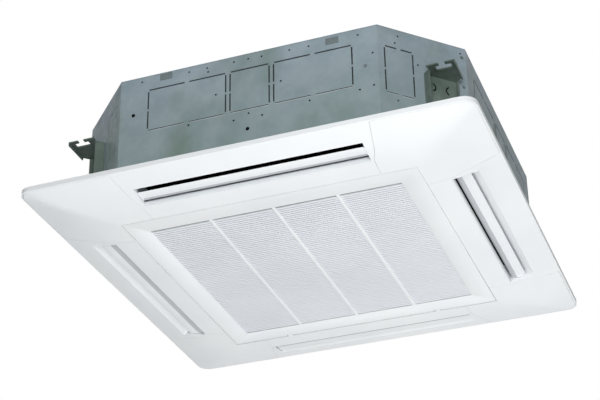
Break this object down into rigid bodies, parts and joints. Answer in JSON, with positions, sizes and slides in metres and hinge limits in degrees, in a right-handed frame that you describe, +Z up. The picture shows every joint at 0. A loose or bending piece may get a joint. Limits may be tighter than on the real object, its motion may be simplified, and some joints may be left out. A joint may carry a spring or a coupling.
{
  "type": "ceiling cassette air conditioner",
  "caption": "Ceiling cassette air conditioner: sheet casing with slotted corner hooks above a square white panel with an intake grille and an air outlet with a flap on each side.",
  "frame": {"origin": "middle of the four hanger hooks, on the plane of their undersides, on the unit's vertical centre line", "axes": "+Z up, +X to the right, -Y towards the front; the ceiling plane lies at z = -0.154 m"},
  "size_m": [0.95, 0.95, 0.281],
  "materials": {
    "white_plastic": "satin moulded plastic, cool white",
    "galvanised_sheet": "zinc-coated sheet, satin grey-green",
    "dark_steel": "dark coated steel, satin",
    "black_foam": "black closed foam, matte",
    "grey_plastic": "grey moulded plastic",
    "steel_pin": "plain turned steel",
    "coil_fins": "packed aluminium fins, mostly air",
    "copper_pipe": "drawn copper",
    "brass_nut": "turned brass",
    "rubber": "black rubber, matte",
    "filter_net": "dark net on a plastic frame",
    "circuit_board": "green board with its parts"
  },
  "bodies": {
    "unit": {"panel_frame": "white_plastic", "corner_cover_front_right": "white_plastic", "corner_cover_back_right": "white_plastic", "corner_cover_back_left": "white_plastic", "corner_cover_front_left": "white_plastic", "flap_motor_front": "grey_plastic", "flap_bearing_front": "grey_plastic", "flap_motor_right": "grey_plastic", "flap_bearing_right": "grey_plastic", "flap_motor_back": "grey_plastic", "flap_bearing_back": "grey_plastic", "flap_motor_left": "grey_plastic", "flap_bearing_left": "grey_plastic", "grille_hinge_pin_left": "steel_pin", "grille_hinge_pin_right": "steel_pin", "panel_seal": "black_foam", "front_plate": "galvanised_sheet", "right_plate": "galvanised_sheet", "back_plate": "galvanised_sheet", "left_plate": "galvanised_sheet", "top_plate": "galvanised_sheet", "casing_liner": "black_foam", "hanger_front_right": "dark_steel", "hanger_back_right": "dark_steel", "hanger_back_left": "dark_steel", "hanger_front_left": "dark_steel", "drain_pan": "black_foam", "heat_exchanger": "coil_fins", "bell_mouth": "grey_plastic", "fan_motor": "dark_steel", "motor_bush_1": "rubber", "motor_bush_2": "rubber", "motor_bush_3": "rubber", "control_box": "galvanised_sheet", "control_box_cover": "galvanised_sheet", "control_board": "circuit_board", "terminal_block": "grey_plastic", "drain_pump": "grey_plastic", "float_switch": "grey_plastic", "drain_hose": "rubber", "drain_socket": "grey_plastic", "gas_pipe": "copper_pipe", "liquid_pipe": "copper_pipe", "flare_nut_gas": "brass_nut", "flare_nut_liquid": "brass_nut", "pipe_cover": "galvanised_sheet"},
    "grille": {"intake_grille": "white_plastic", "air_filter": "filter_net"},
    "catch_left": {"grille_catch_left": "white_plastic"},
    "catch_right": {"grille_catch_right": "white_plastic"},
    "fan": {"turbo_fan": "grey_plastic", "fan_shroud": "grey_plastic", "motor_shaft": "steel_pin", "fan_nut": "steel_pin"},
    "pump_rotor": {"pump_impeller": "grey_plastic"},
    "float_body": {"float": "grey_plastic"},
    "louvre_front": {"flap_front": "white_plastic"},
    "louvre_right": {"flap_right": "white_plastic"},
    "louvre_back": {"flap_back": "white_plastic"},
    "louvre_left": {"flap_left": "white_plastic"}
  },
  "joints": [
    {"name": "flap_front_tilt", "type": "hinge", "parent": "unit", "child": "louvre_front", "pos_m": [0, -0.386, -0.169], "axis": [1, 0, 0], "range_deg": [0, 55]},
    {"name": "flap_right_tilt", "type": "hinge", "parent": "unit", "child": "louvre_right", "pos_m": [0.386, 0, -0.169], "axis": [0, 1, 0], "range_deg": [0, 55]},
    {"name": "flap_back_tilt", "type": "hinge", "parent": "unit", "child": "louvre_back", "pos_m": [0, 0.386, -0.169], "axis": [-1, 0, 0], "range_deg": [0, 55]},
    {"name": "flap_left_tilt", "type": "hinge", "parent": "unit", "child": "louvre_left", "pos_m": [-0.386, 0, -0.169], "axis": [0, -1, 0], "range_deg": [0, 55]},
    {"name": "grille_hinge", "type": "hinge", "parent": "unit", "child": "grille", "pos_m": [0, 0.312, -0.185], "axis": [1, 0, 0], "range_deg": [0, 90]},
    {"name": "catch_left_slide", "type": "slide", "parent": "grille", "child": "catch_left", "axis": [0, -1, 0], "range_m": [0, 0.008]},
    {"name": "catch_right_slide", "type": "slide", "parent": "grille", "child": "catch_right", "axis": [0, -1, 0], "range_m": [0, 0.008]},
    {"name": "fan_spin", "type": "hinge", "parent": "unit", "child": "fan", "pos_m": [0, 0, -0.014], "axis": [0, 0, 1], "continuous": true},
    {"name": "pump_spin", "type": "hinge", "parent": "unit", "child": "pump_rotor", "pos_m": [-0.306, 0.256, -0.106], "axis": [0, 0, 1], "continuous": true},
    {"name": "float_slide", "type": "slide", "parent": "unit", "child": "float_body", "axis": [0, 0, 1], "range_m": [0, 0.01]}
  ]
}
